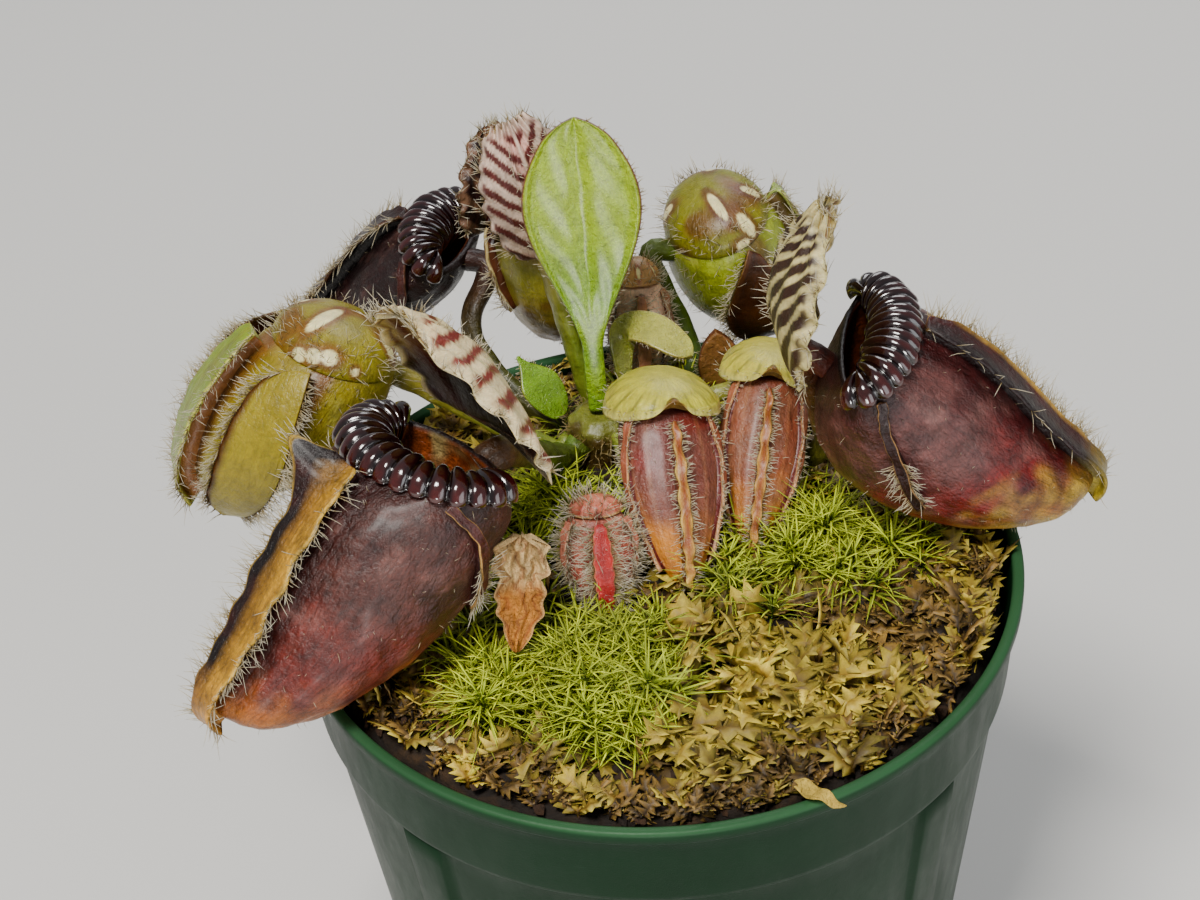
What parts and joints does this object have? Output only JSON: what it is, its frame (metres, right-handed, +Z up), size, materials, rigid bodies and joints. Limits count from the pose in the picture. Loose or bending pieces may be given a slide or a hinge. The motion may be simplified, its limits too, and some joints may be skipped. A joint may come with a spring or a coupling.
{
  "type": "potted pitcher plant",
  "caption": "Low rosette of hairy lidded pitchers with ribbed mouths, small pitchers, flat leaves and moss in a round tapered nursery pot.",
  "frame": {"origin": "centre of the pot's flat underside, on the surface it stands on", "axes": "+Z up out of the pot, -Y towards the front the picture sees, +X to its right"},
  "size_m": [0.0977, 0.0863, 0.1089],
  "materials": {
    "pot_plastic": "satin dark green moulded plastic",
    "growing_mix": "damp dark brown peat with fibres",
    "crown_tissue": "short olive-brown rootstock",
    "mature_pitcher": "satin maroon to grey-violet, golden at the toe and keel",
    "green_pitcher": "satin yellow-green with brown shading and pale windows",
    "tan_pitcher": "hairy pinkish tan",
    "small_pitcher": "satin purple-crimson, golden low down, pale keel",
    "mouth_ring": "glossy near-black maroon ribs",
    "striped_lid": "pale cream with dark red stripes",
    "young_lid": "yellow-green with pale windows",
    "green_leaf": "glossy green with a red-brown margin",
    "pale_leaf": "pale yellow-green",
    "dried_leaf": "dry orange-brown",
    "bright_moss": "bright yellow-green, matt",
    "olive_moss": "yellow-olive, matt",
    "brown_moss": "brown decayed, matt"
  },
  "bodies": {
    "root": {"pot": "pot_plastic", "growing_medium": "growing_mix", "crown": "crown_tissue", "pitcher_right_body": "mature_pitcher", "pitcher_right_mouth_ring": "mouth_ring", "pitcher_right_lid": "striped_lid", "pitcher_front_left_body": "mature_pitcher", "pitcher_front_left_mouth_ring": "mouth_ring", "pitcher_front_left_lid": "striped_lid", "pitcher_back_left_body": "mature_pitcher", "pitcher_back_left_mouth_ring": "mouth_ring", "pitcher_back_left_lid": "striped_lid", "pitcher_back_body": "green_pitcher", "pitcher_back_mouth_ring": "mouth_ring", "pitcher_back_lid": "striped_lid", "young_pitcher_left_body": "green_pitcher", "young_pitcher_left_lid": "young_lid", "young_pitcher_back_right_body": "green_pitcher", "young_pitcher_back_right_lid": "young_lid", "small_pitcher_front_body": "small_pitcher", "small_pitcher_front_lid": "young_lid", "small_pitcher_middle_body": "small_pitcher", "small_pitcher_middle_lid": "young_lid", "young_pitcher_behind_leaf_body": "tan_pitcher", "young_pitcher_behind_leaf_lid": "young_lid", "baby_pitcher_body": "small_pitcher", "baby_pitcher_lid": "young_lid", "large_leaf": "green_leaf", "small_leaf_left": "green_leaf", "small_leaf_right": "pale_leaf", "bud_leaf": "dried_leaf", "dried_leaf": "dried_leaf", "star_moss_front": "bright_moss", "star_moss_front_left": "bright_moss", "star_moss_right": "bright_moss", "star_moss_centre": "bright_moss", "lobed_moss_right": "olive_moss", "lobed_moss_front": "olive_moss", "lobed_moss_middle": "olive_moss", "brown_moss_right": "brown_moss", "brown_moss_back": "brown_moss"}
  },
  "joints": []
}
